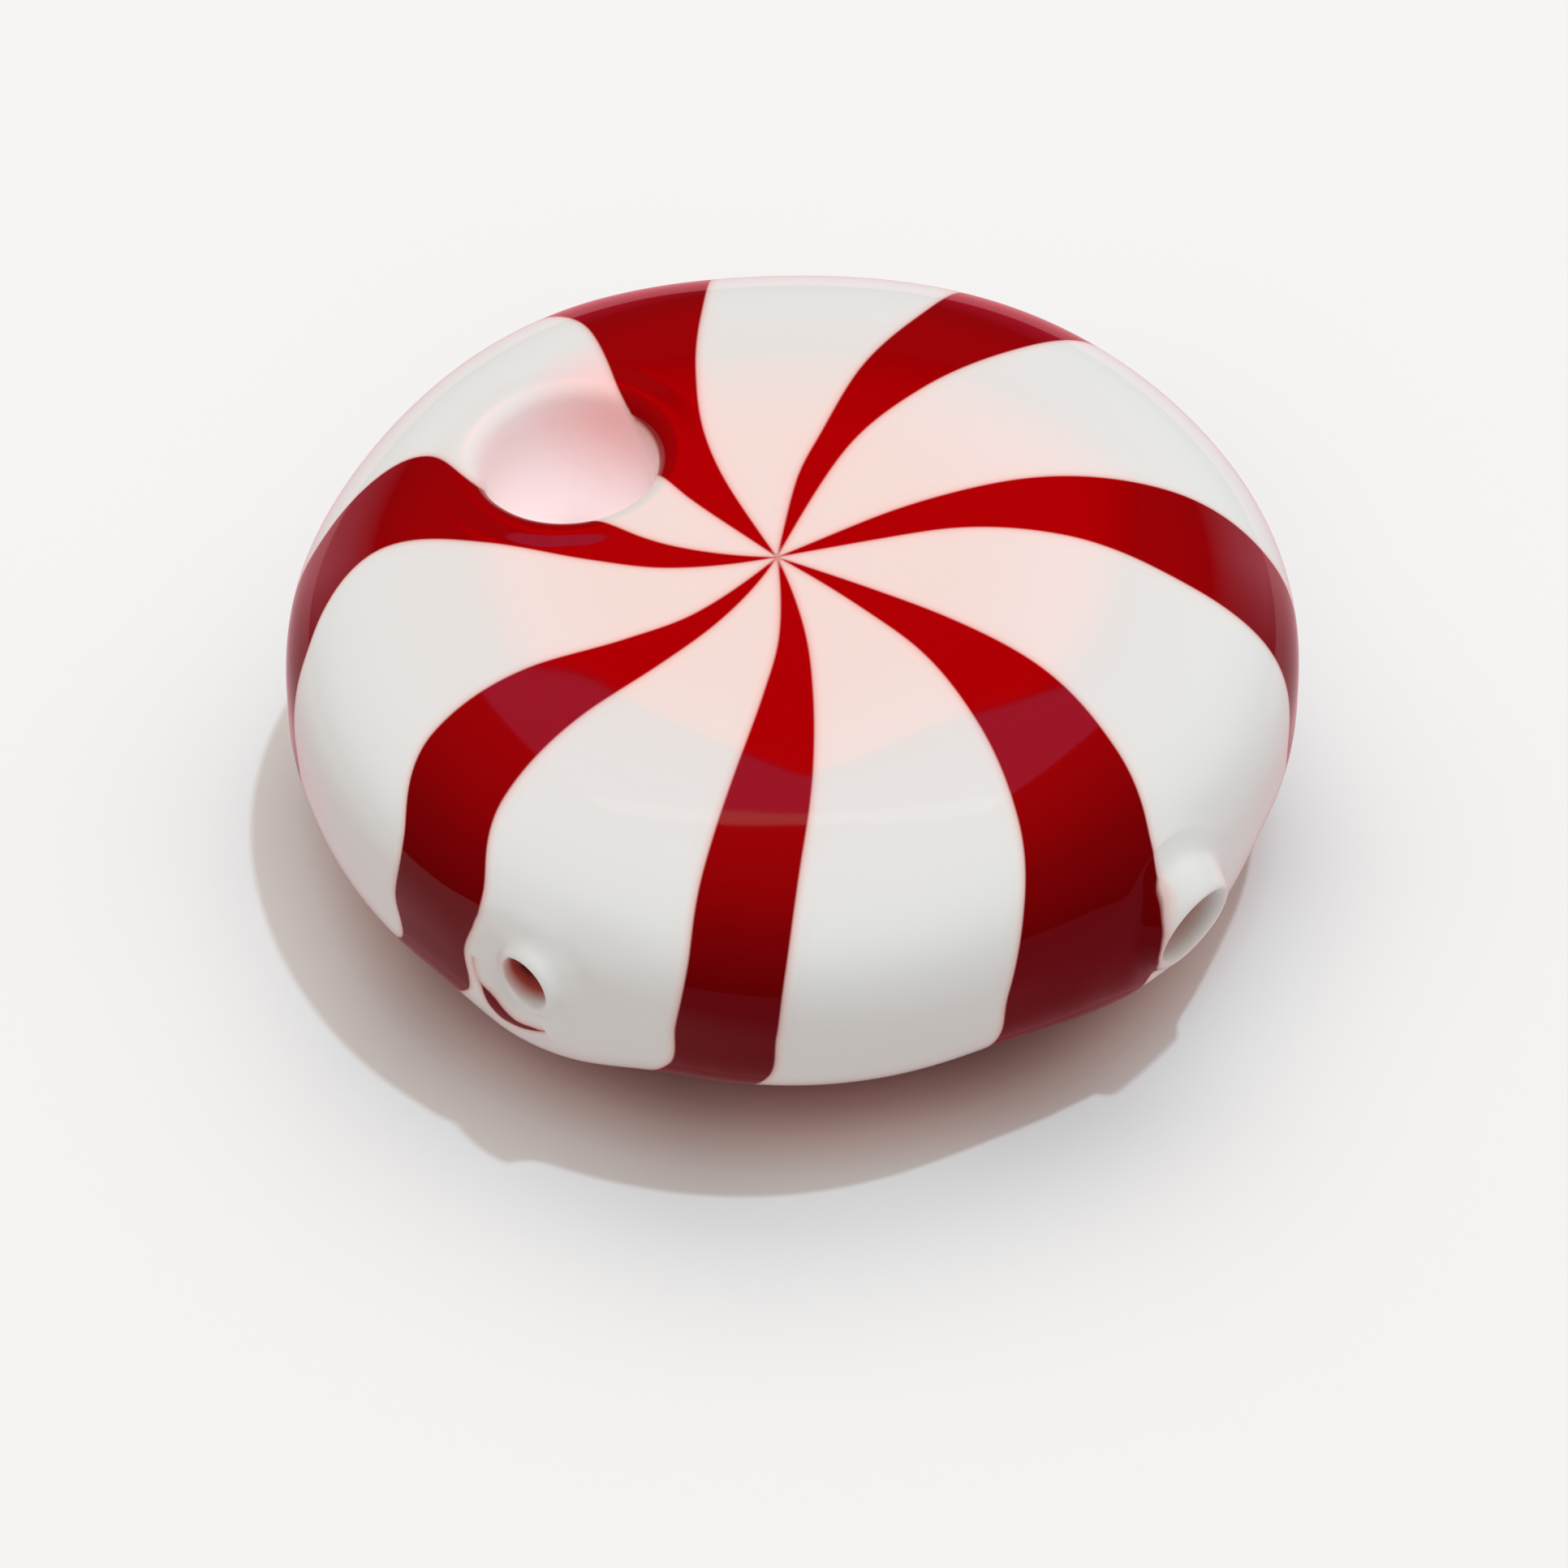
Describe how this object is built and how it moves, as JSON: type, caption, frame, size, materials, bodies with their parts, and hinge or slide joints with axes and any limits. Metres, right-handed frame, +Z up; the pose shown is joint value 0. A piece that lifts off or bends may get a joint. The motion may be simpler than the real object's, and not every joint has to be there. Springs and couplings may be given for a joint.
{
  "type": "glass hand pipe",
  "caption": "Hollow glass hand pipe shaped like a striped mint sweet, with a dished bowl on top, a short mouthpiece and a thumb hole",
  "frame": {"origin": "centre of the small flat spot underneath that it rests on", "axes": "+Z up, along the short axis through the middle of the swirl; +X towards the mouthpiece; the bowl lies towards -X and the thumb hole towards -Y"},
  "size_m": [0.0931, 0.0911, 0.0309],
  "materials": {
    "striped_glass": "gloss"
  },
  "bodies": {
    "root": {"glass_pipe": "striped_glass"}
  },
  "joints": []
}
